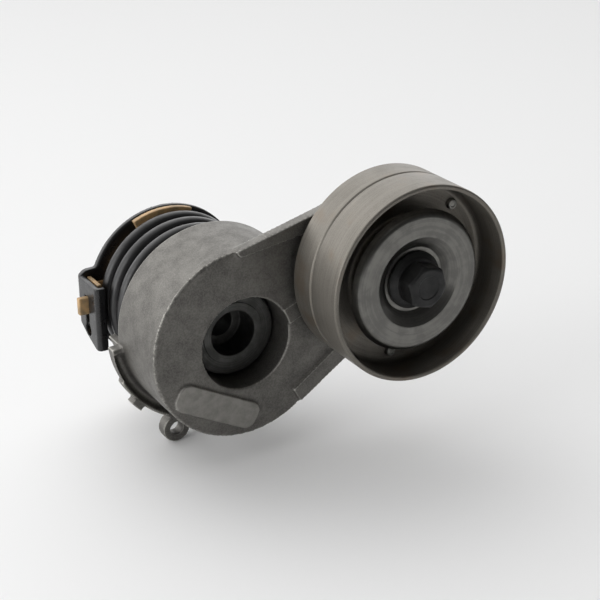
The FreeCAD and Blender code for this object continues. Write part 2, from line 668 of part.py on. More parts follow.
def pulley_bolt():
    """M10 hexagon bolt with a flange, threaded into the boss; the thread is a plain cylinder."""
    body = new_body("pulley_bolt", "pulley")
    top = "bolt_seat + bolt_head"
    ring(body, "shank_and_flange", [("0", "bolt_seat - bolt_length"),
                                    ("bolt_radius - 0.9", "bolt_seat - bolt_length"),
                                    ("bolt_radius", "bolt_seat - bolt_length + 1.2"),
                                    ("bolt_radius", "bolt_seat"), ("bolt_flange", "bolt_seat"),
                                    ("bolt_flange", "bolt_seat + 1.1"), ("8", "bolt_seat + 3.2"),
                                    ("0", "bolt_seat + 3.2")])
    corners = []
    for step in range(6):
        turn = math.radians(60 * step + 43)
        corner = "hex_across / sqrt( 3 )"
        corners.append((f"{corner} * {math.cos(turn):.5f}", f"{corner} * {math.sin(turn):.5f}"))
    plate(body, "hexagon", corners, "bolt_seat + 2", "bolt_head - 2")
    ring(body, "head_chamfer", [("hex_across * 0.48", top), ("hex_across", top),
                                ("hex_across", f"{top} - hex_across * 0.3")], cut=True)
    return body


# --- pulley ---------------------------------------------------------------------------------

def rivet_holes(body):
    """Five holes through the web on the rivet circle."""
    turn = math.radians(size("rivet_phase"))
    hole = disc(body, "rivet_hole", "rivet_shank", "pulley_seam - 4", "8",
                x=f"rivet_circle * {math.cos(turn):.5f}", z=f"rivet_circle * {math.sin(turn):.5f}",
                cut=True)
    repeat_round(body, hole, 5)


def repeat_round(body, feature, count):
    """Repeat a feature evenly about the body's Y axis."""
    pattern = body.newObject("PartDesign::PolarPattern", feature.Name + "_pattern")
    pattern.Originals = [feature]
    pattern.Axis = (origin_part(body, "Y_Axis"), [""])
    pattern.Angle = 360
    pattern.Occurrences = count
    body.Tip = pattern


def pulley_front_shell():
    """Front half of the pulley: rim, web and the collar that holds the bearing's outer race."""
    body = new_body("pulley_front_shell", "pulley")
    web = "pulley_seam + shell_sheet"
    lip = "bearing_rear + bearing_width"
    ring(body, "shell", [
        ("race_outside", "pulley_seam"), ("pulley_radius - seam_groove", "pulley_seam"),
        ("pulley_radius", "pulley_seam + 0.7"), ("pulley_radius", "pulley_front"),
        ("pulley_radius - shell_sheet", "pulley_front"), ("pulley_radius - shell_sheet", web),
        ("collar_outer", web), ("collar_outer", f"{lip} + 1"), ("collar_lip", f"{lip} + 1"),
        ("collar_lip", lip), ("race_outside", lip)],
         rounds={1: 0.3, 3: 0.8, 4: 0.8, 5: 2.6, 6: 1.4, 7: 0.8})
    rivet_holes(body)
    return body


def pulley_rear_shell():
    """Rear half of the pulley, the same pressing turned round with a shorter rim."""
    body = new_body("pulley_rear_shell", "pulley")
    web = "pulley_seam - shell_sheet"
    lip = "bearing_rear"
    ring(body, "shell", [
        ("race_outside", "pulley_seam"), ("pulley_radius - seam_groove", "pulley_seam"),
        ("pulley_radius", "pulley_seam - 0.7"), ("pulley_radius", "pulley_rear"),
        ("pulley_radius - shell_sheet", "pulley_rear"), ("pulley_radius - shell_sheet", web),
        ("collar_outer", web), ("collar_outer", f"{lip} - 0.6"), ("collar_lip", f"{lip} - 0.6"),
        ("collar_lip", lip), ("race_outside", lip)],
         rounds={1: 0.3, 3: 0.8, 4: 0.8, 5: 2.6})
    rivet_holes(body)
    return body


def pulley_rivets():
    """Five rivets that hold the two webs together, one node."""
    rivets = []
    for number in range(5):
        turn = math.radians(size("rivet_phase") + 72 * number)
        pieces = []
        for part, radius, start, height in (
                ("shank", "rivet_shank", "pulley_seam - shell_sheet", "2 * shell_sheet"),
                ("head", "rivet_head", "pulley_seam + shell_sheet", "rivet_height"),
                ("tail", "rivet_head", "pulley_seam - shell_sheet - rivet_height * 0.6",
                 "rivet_height * 0.6")):
            piece = doc.addObject("Part::Cylinder", f"rivet_{part}_{number}")
            piece.Placement = Placement(Vector(), Rotation(Vector(1, 0, 0), 90))
            bind(piece, Radius=radius, Height=height, Placement__Base__y=f"-1 * ( {start} )",
                 Placement__Base__x=f"rivet_circle * {math.cos(turn):.5f}",
                 Placement__Base__z=f"rivet_circle * {math.sin(turn):.5f}")
            pieces.append(piece)
        rivet = doc.addObject("Part::MultiFuse", f"rivet_{number}")
        rivet.Shapes = pieces
        rivet.Refine = True
        rivets.append(rivet)
    return gather("pulley_rivets", rivets)


def gather(label, members):
    """One node from separate solids."""
    group = doc.addObject("Part::Compound", label)
    group.Label = label
    group.Links = members
    to_pulley_axis(group)
    return group


def bearing_outer_race():
    body = new_body("bearing_outer_race", "pulley")
    front = "bearing_rear + bearing_width"
    ring(body, "race", [("outer_shoulder", "bearing_rear"), ("race_outside", "bearing_rear"),
                        ("race_outside", front), ("outer_shoulder", front)])
    cut_ball_track(body)
    return body


def bearing_seal(label, start):
    """Rubber-faced seal held in the outer race, just clear of the inner race."""
    body = new_body(label, "pulley")
    ring(body, "seal", [("inner_shoulder + 0.1", start), ("outer_shoulder", start),
                        ("outer_shoulder", f"{start} + seal_sheet"),
                        ("inner_shoulder + 0.1", f"{start} + seal_sheet")])
    return body


def bearing_cage():
    """Cage ring with a round pocket drilled through it for each ball."""
    body = new_body("bearing_cage", "pulley")
    middle = "bearing_rear + bearing_width / 2"
    ring(body, "hoop", [("ball_circle - 1", f"{middle} - cage_width / 2"),
                        ("ball_circle + 1", f"{middle} - cage_width / 2"),
                        ("ball_circle + 1", f"{middle} + cage_width / 2"),
                        ("ball_circle - 1", f"{middle} + cage_width / 2")])
    pocket = body.newObject("PartDesign::SubtractiveCylinder", "ball_pocket")
    pocket.AttachmentSupport = (origin_part(body, "YZ_Plane"), [""])
    pocket.MapMode = "FlatFace"
    bind(pocket, Radius="ball_radius + run_gap", Height="ball_circle + 3",
         AttachmentOffset__Base__x=f"-1 * ( {middle} )")
    repeat_round(body, pocket, 8)
    return body


def bearing_balls():
    """Eight balls on the ball circle, one node."""
    balls = []
    for number in range(8):
        turn = math.radians(45 * number)
        ball = doc.addObject("Part::Sphere", f"ball_{number}")
        bind(ball, Radius="ball_radius", Placement__Base__x=f"ball_circle * {math.cos(turn):.5f}",
             Placement__Base__z=f"ball_circle * {math.sin(turn):.5f}",
             Placement__Base__y="-1 * ( bearing_rear + bearing_width / 2 )")
        balls.append(ball)
    return gather("bearing_balls", balls)


def check_document():
    """Stop if any object failed to compute, which a recompute doesn't report by itself."""
    for thing in doc.Objects:
        if "Invalid" in thing.State or "Error" in thing.State:
            raise RuntimeError(f"{thing.Name} ({thing.Label}) failed: {thing.State}")


def export(nodes):
    os.makedirs("parts", exist_ok=True)
    for node in nodes:
        shape = node.Shape
        if shape.isNull() or not shape.isValid():
            raise RuntimeError(f"{node.Label} has no valid shape")
        shape.exportStep(f"parts/{node.Label}.step")
        box = shape.BoundBox
        print(f"{node.Label:22s} solids {len(shape.Solids)}  volume {shape.Volume / 1000:8.2f} cm3  "
              f"X {box.XMin:7.2f} {box.XMax:7.2f}  Y {box.YMin:7.2f} {box.YMax:7.2f}  "
              f"Z {box.ZMin:7.2f} {box.ZMax:7.2f}")


fill_sheet()
NODES = [
    base_plate(), dowel(), pivot_tube(), front_thrust_washer(), rear_thrust_ring(), spring_seat(),
    spring(),
    arm_casting(), pivot_bush("front_pivot_bush", "recess_floor - 16.2"),
    pivot_bush("rear_pivot_bush", "hub_rear + 0.2"), damping_ring(), bearing_sleeve(),
    bearing_inner_race(), rear_dust_shield(), front_dust_shield(), pulley_bolt(),
    pulley_front_shell(), pulley_rear_shell(), pulley_rivets(), bearing_outer_race(),
    bearing_seal("front_bearing_seal", "bearing_rear + bearing_width - seal_sheet - 0.3"),
    bearing_seal("rear_bearing_seal", "bearing_rear + 0.3"),
    bearing_cage(), bearing_balls(),
]
doc.recompute()
check_document()
export(NODES)
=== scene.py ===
# %% [markdown]
# # A belt tensioner with an open spring
#
# The tensioner keeps an engine's accessory belt tight. A pressed base bolts to the engine, a coil
# spring stands on it, and the spring pushes a cast arm round a pivot. A smooth pressed pulley on
# the end of the arm runs on the back of the belt.
#
# The working model is loaded first. It already has each part in its place, with its joints, so
# this script never moves anything. It only makes finer pieces in the same places, and finishes.

# %% Load the working model
import json
import math

import bmesh
import bpy
import numpy as np
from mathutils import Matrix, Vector, noise


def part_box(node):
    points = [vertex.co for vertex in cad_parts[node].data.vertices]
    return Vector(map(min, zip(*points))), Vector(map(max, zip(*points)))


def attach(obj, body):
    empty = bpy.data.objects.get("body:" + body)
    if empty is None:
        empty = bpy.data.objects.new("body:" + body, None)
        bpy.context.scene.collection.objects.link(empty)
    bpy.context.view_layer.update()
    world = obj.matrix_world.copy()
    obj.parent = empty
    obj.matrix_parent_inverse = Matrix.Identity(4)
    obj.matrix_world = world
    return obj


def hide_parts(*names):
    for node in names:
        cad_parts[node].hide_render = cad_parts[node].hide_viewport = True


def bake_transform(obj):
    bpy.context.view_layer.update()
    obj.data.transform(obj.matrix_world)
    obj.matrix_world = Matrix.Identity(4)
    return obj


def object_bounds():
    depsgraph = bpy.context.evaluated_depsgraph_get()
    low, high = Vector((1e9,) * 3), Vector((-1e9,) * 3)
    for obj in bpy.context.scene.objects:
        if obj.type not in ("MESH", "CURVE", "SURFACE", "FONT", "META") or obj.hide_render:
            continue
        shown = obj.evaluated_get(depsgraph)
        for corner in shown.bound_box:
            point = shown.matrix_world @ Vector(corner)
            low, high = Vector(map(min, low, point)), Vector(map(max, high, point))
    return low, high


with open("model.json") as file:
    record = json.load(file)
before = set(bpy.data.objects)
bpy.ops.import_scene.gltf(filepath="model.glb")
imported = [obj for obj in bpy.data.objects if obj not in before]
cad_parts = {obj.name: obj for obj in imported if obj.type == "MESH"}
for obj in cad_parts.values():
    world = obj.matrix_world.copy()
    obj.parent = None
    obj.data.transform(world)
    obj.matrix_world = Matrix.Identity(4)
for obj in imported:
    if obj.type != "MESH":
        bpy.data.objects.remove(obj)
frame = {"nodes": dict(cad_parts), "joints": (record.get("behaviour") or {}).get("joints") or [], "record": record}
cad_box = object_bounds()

MM = 0.001
record = frame["record"]
body_of = {node: body for body, nodes in record["behaviour"]["bodies"].items() for node in nodes}
mount_size = {mount["name"]: mount["dims"] for mount in record["mounts"]}
joint_at = {joint["name"]: Vector(joint["pos_m"]) for joint in frame["joints"]}

# %% [markdown]
# ## Measures taken from the model
#
# Everything round turns about one of two lines that run front to back: the pivot and the pulley
# axis. So each round piece is described by radii and by its distance in front of the mounting
# face, both in millimetres, and those distances are read from the model where it has them.

# %% The two axes and a way to read a node's size
PIVOT = (0.0, 0.0)
PULLEY = (joint_at["pulley_spin"].x / MM, joint_at["pulley_spin"].z / MM)


def span(node):
    """A node's size in millimetres: rear and front distance, and half its width."""
    low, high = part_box(node)
    return -high.y / MM, -low.y / MM, (high.x - low.x) / 2 / MM


for node in ("base_plate", "arm_casting", "pulley_front_shell", "pulley_rear_shell"):
    print(node, [round(value, 2) for value in span(node)])

# %% [markdown]
# ## Turning a profile
#
# Washers, shields, shells and bolts are round, and a lathe is the natural way to make them: draw
# half of the section and turn it about the axis. Blender has a Screw modifier for this, but a
# short function of our own can round every corner of the section first, which is what makes
# pressed sheet look pressed, and can keep how far along the section each point lies. The
# finishes use that to lay turning marks round the part.

# %% Round the corners of a section
ARC_STEPS = 6


def rounded(corners):
    """Replaces each (radius, front, rounding) corner of a closed section by an arc."""
    points = []
    for index, corner in enumerate(corners):
        here = Vector(corner[:2])
        rounding = corner[2] if len(corner) > 2 else 0
        if not rounding:
            points.append(here)
            continue
        before = (Vector(corners[index - 1][:2]) - here)
        after = (Vector(corners[(index + 1) % len(corners)][:2]) - here)
        half = before.angle(after) / 2
        reach = min(rounding / math.tan(half), before.length * 0.49, after.length * 0.49)
        start, end = here + before.normalized() * reach, here + after.normalized() * reach
        radius = reach * math.tan(half)
        centre = here + (before.normalized() + after.normalized()).normalized() * radius / math.sin(half)
        for step in range(ARC_STEPS + 1):
            share = step / ARC_STEPS
            swing = (start - centre).lerp(end - centre, share)
            points.append(centre + swing.normalized() * radius)
    return points


# %% Turn a section about an axis
ROUND_STEPS = 180
SHARP = math.radians(32)


def turned(name, corners, axis, steps=ROUND_STEPS):
    """A closed section of (radius, front, rounding) in mm, turned about an axis at (x, z) mm."""
    points = rounded(corners)
    shape = bmesh.new()
    along = shape.verts.layers.float_vector.new("turning")
    rings, travelled = [], 0.0
    for index, (radius, front) in enumerate(points):
        travelled += (points[index] - points[index - 1]).length if index else 0
        ring = []
        for step in range(steps if radius > 1e-6 else 1):
            turn = math.tau * step / steps
            x, z = radius * math.cos(turn), radius * math.sin(turn)
            vert = shape.verts.new(((axis[0] + x) * MM, -front * MM, (axis[1] + z) * MM))
            vert[along] = (x, z, travelled)
            ring.append(vert)
        rings.append(ring)
    for ring, following in zip(rings, rings[1:] + rings[:1]):
        for step in range(steps):
            corners_here = [ring[step % len(ring)], ring[(step + 1) % len(ring)],
                            following[(step + 1) % len(following)], following[step % len(following)]]
            distinct = list(dict.fromkeys(corners_here))
            if len(distinct) > 2:
                shape.faces.new(distinct)
    return made(name, shape)


def made(name, shape):
    """Turns a bmesh into a smooth-shaded object whose sharp edges stay sharp."""
    bmesh.ops.recalc_face_normals(shape, faces=shape.faces)
    for face in shape.faces:
        face.smooth = True
    for edge in shape.edges:
        edge.smooth = not edge.is_manifold or edge.calc_face_angle(0) < SHARP
    mesh = bpy.data.meshes.new(name)
    shape.to_mesh(mesh)
    shape.free()
    piece = bpy.data.objects.new(name, mesh)
    bpy.context.scene.collection.objects.link(piece)
    return piece


# %% [markdown]
# ## Softening a casting
#
# A die-cast or pressed part has no razor edges. Beveling every edge of a complicated solid by
# hand breaks easily, so the model's own mesh is copied, rebuilt as an even grid of small squares
# and relaxed a little. Each edge then gets a radius of about half a millimetre. The grid copies
# the flat facets of the model's cylinders, so the points near a known radius are put back on it.

# %% Copy a node, remesh it, relax it and true it up
TRUE_UP_REACH = 0.45  # as a share of the grid
WALL_FACING = 0.7


def softened(name, node, grid, passes, true_radii=()):
    """A smooth-edged copy of a CAD node. true_radii holds (x, z, radius) of its cylinders in mm."""
    piece = bpy.data.objects.new(name, frame["nodes"][node].data.copy())
    bpy.context.scene.collection.objects.link(piece)
    remesh = piece.modifiers.new("grid", "REMESH")
    remesh.mode, remesh.voxel_size, remesh.use_smooth_shade = "VOXEL", grid * MM, True
    relax = piece.modifiers.new("relax", "SMOOTH")
    relax.factor, relax.iterations = 0.5, passes
    bpy.context.view_layer.update()
    ready = piece.evaluated_get(bpy.context.evaluated_depsgraph_get())
    mesh = bpy.data.meshes.new_from_object(ready)
    piece.modifiers.clear()
    piece.data = mesh
    mesh.name = name
    for x, z, radius in true_radii:
        put_on_radius(mesh, x * MM, z * MM, radius * MM, grid * TRUE_UP_REACH * MM)
    return piece


def put_on_radius(mesh, x, z, radius, reach):
    """Moves the points that lie within reach of a cylinder's wall exactly onto it."""
    place, facing = points_of(mesh)
    offset = (place - (x, 0, z)) * (1, 0, 1)
    distance = np.linalg.norm(offset, axis=1)
    outward = offset / np.maximum(distance, 1e-9)[:, None]
    gap = distance - radius
    on_wall = (abs(gap) < reach) & ((outward * facing).sum(1) ** 2 > WALL_FACING)
    place -= outward * (gap * on_wall)[:, None]
    mesh.vertices.foreach_set("co", place.ravel())


def points_of(mesh):
    """Every point's place and normal, as two arrays."""
    place, facing = np.zeros(len(mesh.vertices) * 3), np.zeros(len(mesh.vertices) * 3)
    mesh.vertices.foreach_get("co", place)
    mesh.vertices.foreach_get("normal", facing)
    return place.reshape(-1, 3), facing.reshape(-1, 3)


# %% [markdown]
# ## Handing a finer piece over
#
# A finer piece stands for the model's own node. It moves with the same body, keeps the same
# finish slot, and hides the plain node.

# %% Say which node a piece stands for
def stands_for(piece, node, finish):
    """Gives a finer piece its finish and its slot, and hides the plain node."""
    piece.data.materials.clear()
    piece.data.materials.append(finish)
    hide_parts(node)
    print(piece.name, "stands for", node, "with", len(piece.data.polygons), "faces")
    return piece


def ride_with(piece, node):
    """Makes a piece move with the body that the node belongs to."""
    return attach(piece, body_of[node])


# %% [markdown]
# ## How a finish is written
#
# Each finish is a Principled shader fed by a few nodes. Colours are written as the hex value one
# would pick on a screen, and turned to the linear values that the renderer works in. Patterns
# are sized in millimetres: the coordinates are scaled to millimetres first, so a noise scale of
# 1 / 0.4 makes grains of 0.4 mm. One function adds any node, sets it up, links it and hands back
# the output that the next node needs.

# %% Colour, nodes and coordinates
COLOUR = {"output": 2, "data_type": "RGBA"}
SOFT = {"interpolation_type": "SMOOTHSTEP"}
MARK_STRETCH = 0.03


def linear(hex_colour):
    """sRGB hex, such as 8c8a86, to linear red, green, blue and alpha."""
    parts = [int(hex_colour[i:i + 2], 16) / 255 for i in (0, 2, 4)]
    return [p / 12.92 if p <= 0.04045 else ((p + 0.055) / 1.055) ** 2.4 for p in parts] + [1.0]


def add(tree, kind, inputs, output=0, **settings):
    """Adds a node, gives each input a value or another node's output, and returns an output."""
    node = tree.nodes.new("ShaderNode" + kind)
    for name, value in settings.items():
        setattr(node, name, value)
    for socket, value in inputs.items():
        if isinstance(value, bpy.types.NodeSocket):
            tree.links.new(value, node.inputs[socket])
        else:
            node.inputs[socket].default_value = value
    return node.outputs[output]


def start_finish(name, metallic, roughness):
    """A new material, its node tree and its shader."""
    finish = bpy.data.materials.new(name)
    finish.use_nodes = True
    tree = finish.node_tree
    shader = tree.nodes["Principled BSDF"]
    shader.inputs["Metallic"].default_value = metallic
    shader.inputs["Roughness"].default_value = roughness
    return finish, tree, shader


def in_millimetres(tree):
    """Coordinates of the object in millimetres."""
    place = add(tree, "TexCoord", {}, "Object")
    return add(tree, "Mapping", {"Vector": place, "Scale": [1 / MM] * 3})


def round_the_part(tree, width):
    """Coordinates for marks that run round a turned piece, width millimetres apart."""
    turning = add(tree, "Attribute", {}, "Vector", attribute_name="turning")
    return add(tree, "Mapping", {"Vector": turning,
               "Scale": (MARK_STRETCH, MARK_STRETCH, 1 / width)})


# %% [markdown]
# ## Die-cast aluminium, shot-blasted
#
# The arm is cast under pressure in a steel die and then blasted. That leaves a dull, slightly
# warm grey with a fine grain and a soft mottle where the die was sprayed. Its edges are painted
# paler, partly as wear and partly as a painted highlight. The raised pad's flat top is painted
# paler too: painted light from the floor below, with some rubbing. Real blast pits are about
# 0.1 mm wide, too fine to show, so they are drawn at 0.55 mm.

# %% Finish for the arm
# the third size is the patch width of the pad's painted light and rubbing
SPRAY_PATCH, BLAST_PIT, PAD_PATCH, PIT_DEPTH = 7.0, 0.55, 3.0, 0.06


def cast_aluminium():
    finish, tree, shader = start_finish("die_cast_aluminium_blasted", 0.85, 0.55)
    where = in_millimetres(tree)
    mottle = add(tree, "TexNoise", {"Vector": where, "Scale": 1 / SPRAY_PATCH, "Detail": 5,
                 "Roughness": 0.62})
    pits = add(tree, "TexNoise", {"Vector": where, "Scale": 1 / BLAST_PIT, "Detail": 3,
               "Roughness": 0.6})
    # this noise breaks the pad's painted light and rubbing into patches
    pad_patches = add(tree, "TexNoise", {"Vector": where, "Scale": 1 / PAD_PATCH, "Detail": 4,
                  "Roughness": 0.6})
    sprayed = add(tree, "MapRange", {0: mottle, 1: 0.3, 2: 0.7}, **SOFT)
    base = add(tree, "Mix", {0: sprayed, 6: linear("5e5c59"), 7: linear("6b6965")}, **COLOUR)
    pitted = add(tree, "MapRange", {0: pits, 1: 0.36, 2: 0.64}, **SOFT)
    grainy = add(tree, "Mix", {0: pitted, 6: base, 7: linear("8e8c87")}, **COLOUR)
    blasted = add(tree, "Mix", {0: 0.3, 6: base, 7: grainy}, **COLOUR)
    # the edges turn paler: partly edge wear, partly a painted highlight
    edges = add(tree, "NewGeometry", {}, "Pointiness")
    worn_and_highlit = add(tree, "MapRange", {0: edges, 1: 0.515, 2: 0.56}, **SOFT)
    cast = add(tree, "Mix", {0: worn_and_highlit, 6: blasted, 7: linear("a6a49e")}, **COLOUR)
    # the pad's flat top turns paler in patches: painted light from the floor below, with some rubbing
    pad_lit_and_rubbed = add(tree, "Attribute", {}, "Fac", attribute_name="pad_lit_and_rubbed")
    patchy = add(tree, "MapRange", {0: pad_patches, 1: 0.3, 2: 0.7, 3: 0.55, 4: 1.0}, **SOFT)
    bright = add(tree, "Math", {0: pad_lit_and_rubbed, 1: patchy}, operation="MULTIPLY")
    colour = add(tree, "Mix", {0: bright, 6: cast, 7: linear("94928d")}, **COLOUR)
    dull = add(tree, "MapRange", {0: mottle, 1: 0.3, 2: 0.7, 3: 0.6, 4: 0.48}, **SOFT)
    relief = add(tree, "Bump", {"Height": pits, "Distance": PIT_DEPTH * MM, "Strength": 1.0})
    tree.links.new(colour, shader.inputs["Base Color"])
    tree.links.new(dull, shader.inputs["Roughness"])
    tree.links.new(relief, shader.inputs["Normal"])
    return finish


ALUMINIUM = cast_aluminium()
print("finish:", ALUMINIUM.name)

# %% [markdown]
# ## Drawn steel, oiled
#
# The pulley halves are drawn from mild steel strip, and the belt face is skimmed. The steel keeps
# a brownish film of oil and the faint marks of the tool run round it. Skimming marks are about
# 0.1 mm apart, too fine to show, so they are drawn 0.35 mm apart.

# %% Finish for the pulley shells
TOOL_MARK, OIL_PATCH, STRIP_GRAIN, TOOL_MARK_DEPTH = 0.35, 14.0, 0.5, 0.012


def drawn_steel():
    finish, tree, shader = start_finish("mild_steel_drawn_and_oiled", 0.7, 0.5)
    where = in_millimetres(tree)
    marks = add(tree, "TexNoise", {"Vector": round_the_part(tree, TOOL_MARK), "Scale": 1.0,
                "Detail": 3, "Roughness": 0.6})
    film = add(tree, "TexNoise", {"Vector": where, "Scale": 1 / OIL_PATCH, "Detail": 4,
               "Roughness": 0.55})
    grains = add(tree, "TexNoise", {"Vector": where, "Scale": 1 / STRIP_GRAIN, "Detail": 3,
                 "Roughness": 0.6})
    streaks = add(tree, "MapRange", {0: marks, 1: 0.35, 2: 0.65}, **SOFT)
    plain = add(tree, "Mix", {0: streaks, 6: linear("6b6760"), 7: linear("7a766f")}, **COLOUR)
    specks = add(tree, "MapRange", {0: grains, 1: 0.35, 2: 0.65}, **SOFT)
    grainy = add(tree, "Mix", {0: specks, 6: plain, 7: linear("87837c")}, **COLOUR)
    skimmed = add(tree, "Mix", {0: 0.35, 6: plain, 7: grainy}, **COLOUR)
    oily = add(tree, "MapRange", {0: film, 1: 0.52, 2: 0.72, 3: 0.0, 4: 0.6}, **SOFT)
    colour = add(tree, "Mix", {0: oily, 6: skimmed, 7: linear("6f6253")}, **COLOUR)
    dull = add(tree, "MapRange", {0: film, 1: 0.3, 2: 0.7, 3: 0.56, 4: 0.42}, **SOFT)
    relief = add(tree, "Bump", {"Height": marks, "Distance": TOOL_MARK_DEPTH * MM,
                 "Strength": 1.0})
    tree.links.new(colour, shader.inputs["Base Color"])
    tree.links.new(dull, shader.inputs["Roughness"])
    tree.links.new(relief, shader.inputs["Normal"])
    return finish


DRAWN_STEEL = drawn_steel()
print("finish:", DRAWN_STEEL.name)

# %% [markdown]
# ## The plainer metals
#
# The shields, rivets, washers and tube are mild steel too, pressed or turned and then plated or
# phosphated. They differ in colour, gloss and how coarse the marks are, so one function makes
# them all.

# %% Finish for turned and pressed steel
METAL_CLOUD = 4.0


def turned_steel(name, dark, light, roughness, metallic=0.85, mark=0.3, depth=0.01):
    """mark is the spacing of the turning marks and depth how deep they are, in millimetres."""
    finish, tree, shader = start_finish(name, metallic, roughness)
    marks = add(tree, "TexNoise", {"Vector": round_the_part(tree, mark), "Scale": 1.0,
                "Detail": 2, "Roughness": 0.5})
    clouds = add(tree, "TexNoise", {"Vector": in_millimetres(tree), "Scale": 1 / METAL_CLOUD,
                 "Detail": 4, "Roughness": 0.6})
    both = add(tree, "Math", {0: marks, 1: clouds}, operation="MULTIPLY")
    share = add(tree, "MapRange", {0: both, 1: 0.16, 2: 0.36}, **SOFT)
    colour = add(tree, "Mix", {0: share, 6: linear(dark), 7: linear(light)}, **COLOUR)
    dull = add(tree, "MapRange", {0: clouds, 1: 0.3, 2: 0.7, 3: roughness + 0.07,
               4: roughness - 0.07}, **SOFT)
    relief = add(tree, "Bump", {"Height": both, "Distance": depth * MM, "Strength": 1.0})
    tree.links.new(colour, shader.inputs["Base Color"])
    tree.links.new(dull, shader.inputs["Roughness"])
    tree.links.new(relief, shader.inputs["Normal"])
    return finish


# smooth sheet that the press has burnished: an even grey with soft, broad highlights
SHIELD_STEEL = turned_steel("mild_steel_pressed", "6b6a67", "767571", 0.38, 1.0, 0.6, 0.006)
# bright zinc: the palest metal here, with a slight cloudiness
ZINC_STEEL = turned_steel("mild_steel_zinc_plated", "8a8a86", "a8a7a2", 0.4)
# phosphate over fine turning: dark and nearly matt, so the recess stays quiet
TUBE_STEEL = turned_steel("mild_steel_turned_and_phosphated", "4b4b49", "595957", 0.55)
# ground and lapped: a clear, bright mirror
BEARING_STEEL = turned_steel("bearing_steel_ground", "9a9a98", "b2b2b0", 0.2, 1.0, 0.2, 0.002)
# forged and phosphated black: the hexagon shows by its dim highlights alone
BLACK_STEEL = turned_steel("steel_black_phosphated", "1c1c1c", "292929", 0.45, 0.5, 0.5, 0.01)
print("finishes:", [finish.name for finish in (SHIELD_STEEL, ZINC_STEEL, TUBE_STEEL,
                                               BEARING_STEEL, BLACK_STEEL)])

# %% [markdown]
# ## Black coatings and polymers
#
# The base and the spring carry a thin black coat, which is not a metal to the eye: it has a dark
# colour and a soft gloss. The polymers are the tan nylon of the spring seat and the dark bushes.

# %% Finish for coatings, polymers and rubber
SKIN_CLOUD = 5.0


def skin(name, dark, light, roughness, grain, depth, ior=1.5):
    """grain is the width of the surface's pores and depth how deep they are, in millimetres."""
    finish, tree, shader = start_finish(name, 0.0, roughness)
    shader.inputs["IOR"].default_value = ior
    where = in_millimetres(tree)
    clouds = add(tree, "TexNoise", {"Vector": where, "Scale": 1 / SKIN_CLOUD, "Detail": 4,
                 "Roughness": 0.6})
    pores = add(tree, "TexNoise", {"Vector": where, "Scale": 1 / grain, "Detail": 2,
                "Roughness": 0.5})
    share = add(tree, "MapRange", {0: clouds, 1: 0.35, 2: 0.65}, **SOFT)
    colour = add(tree, "Mix", {0: share, 6: linear(dark), 7: linear(light)}, **COLOUR)
    dull = add(tree, "MapRange", {0: clouds, 1: 0.3, 2: 0.7, 3: roughness + 0.08,
               4: roughness - 0.05}, **SOFT)
    relief = add(tree, "Bump", {"Height": pores, "Distance": depth * MM, "Strength": 1.0})
    tree.links.new(colour, shader.inputs["Base Color"])
    tree.links.new(dull, shader.inputs["Roughness"])
    tree.links.new(relief, shader.inputs["Normal"])
    return finish


# a thin dipped coat over sheet: black with a soft sheen and a faint orange peel
BLACK_COAT = skin("steel_cathodic_black_coat", "131314", "1c1c1d", 0.30, 0.7, 0.012)
# the same kind of coat over shot-peened wire: a little greyer, with long narrow highlights
SPRING_COAT = skin("spring_steel_black_coat", "19191a", "242425", 0.33, 0.6, 0.012)
# moulded and since stained by handling and dust: a tan that drifts between dull and warm
TAN_NYLON = skin("nylon_moulded_tan", "8f7a5c", "bd9a6c", 0.55, 0.9, 0.02, 1.53)
# smooth moulding that rubs on metal: dark grey and even
DARK_POLYMER = skin("acetal_moulded_dark", "2b2b2b", "353535", 0.5, 0.8, 0.01, 1.48)
# moulded rubber: near black, with hardly any highlight
NITRILE = skin("nitrile_rubber_moulded", "161616", "1e1e1e", 0.65, 0.6, 0.02, 1.52)
print("finishes:", [finish.name for finish in (BLACK_COAT, SPRING_COAT, TAN_NYLON,
                                               DARK_POLYMER, NITRILE)])

# %% [markdown]
# ## The arm
#
# One casting holds the drum over the spring, the neck with its raised borders and the boss under
# the pulley. It is the softened copy of the model's arm. Its front rim is knocked about a little
# in real life, so points near that rim are nibbled with noise, and a low ridge runs round the drum
# where the two halves of the die met.

# %% Cast the arm
DRUM_RADIUS, DRUM_FRONT, BOSS_RADIUS = 37.2, 69.0, 13.0
POCKET_OUTER, POCKET_INNER, RECESS_RADIUS, HUB_RADIUS = 33.2, 21.6, 17.9, 17.5
SKIRT_INNER, SKIRT_OUTER = 41.4, 42.4
PIVOT_RADII = (DRUM_RADIUS, POCKET_OUTER, POCKET_INNER, RECESS_RADIUS, HUB_RADIUS,
               SKIRT_INNER, SKIRT_OUTER)
arm = softened("arm_casting_cast", "arm_casting", 0.5, 3,
               [(*PIVOT, radius) for radius in PIVOT_RADII] + [(*PULLEY, BOSS_RADIUS)])


# %% Nibble the rim
RIM_REACH, CHIP_DEPTH, CHIP_WIDTH, FINE_CHIP, FINE_SHARE, UNCHIPPED = 1.8, 0.55, 1.9, 0.9, 0.6, 0.05


def nibble_rim(place, facing, radius, front):
    """Knocks small chips out of the drum's front edge."""
    from_rim = np.hypot(radius - DRUM_RADIUS, front - DRUM_FRONT)
    for index in np.nonzero(from_rim < RIM_REACH)[0]:
        spot = Vector(place[index]) / MM
        coarse, fine = noise.noise(spot / CHIP_WIDTH), noise.noise(spot / FINE_CHIP)
        chip = max(0.0, coarse + FINE_SHARE * fine - UNCHIPPED)
        place[index] -= facing[index] * chip * CHIP_DEPTH * (1 - from_rim[index] / RIM_REACH) * MM


# %% Scoop the skirt and raise the parting line
SKIRT_FRONT, SCOOP_RADIUS, SCOOP_HALF, SCOOP_DEPTH = 41.5, 39.1, 2.1, 2.6
SCOOP_FROM, SCOOP_TO, SCOOP_FADE = 189, 243, 4  # degrees round the pivot
PARTING, RIDGE_HEIGHT, RIDGE_WIDTH, RIDGE_PATCH = DRUM_FRONT - 3.4, 0.16, 0.45, 6.0


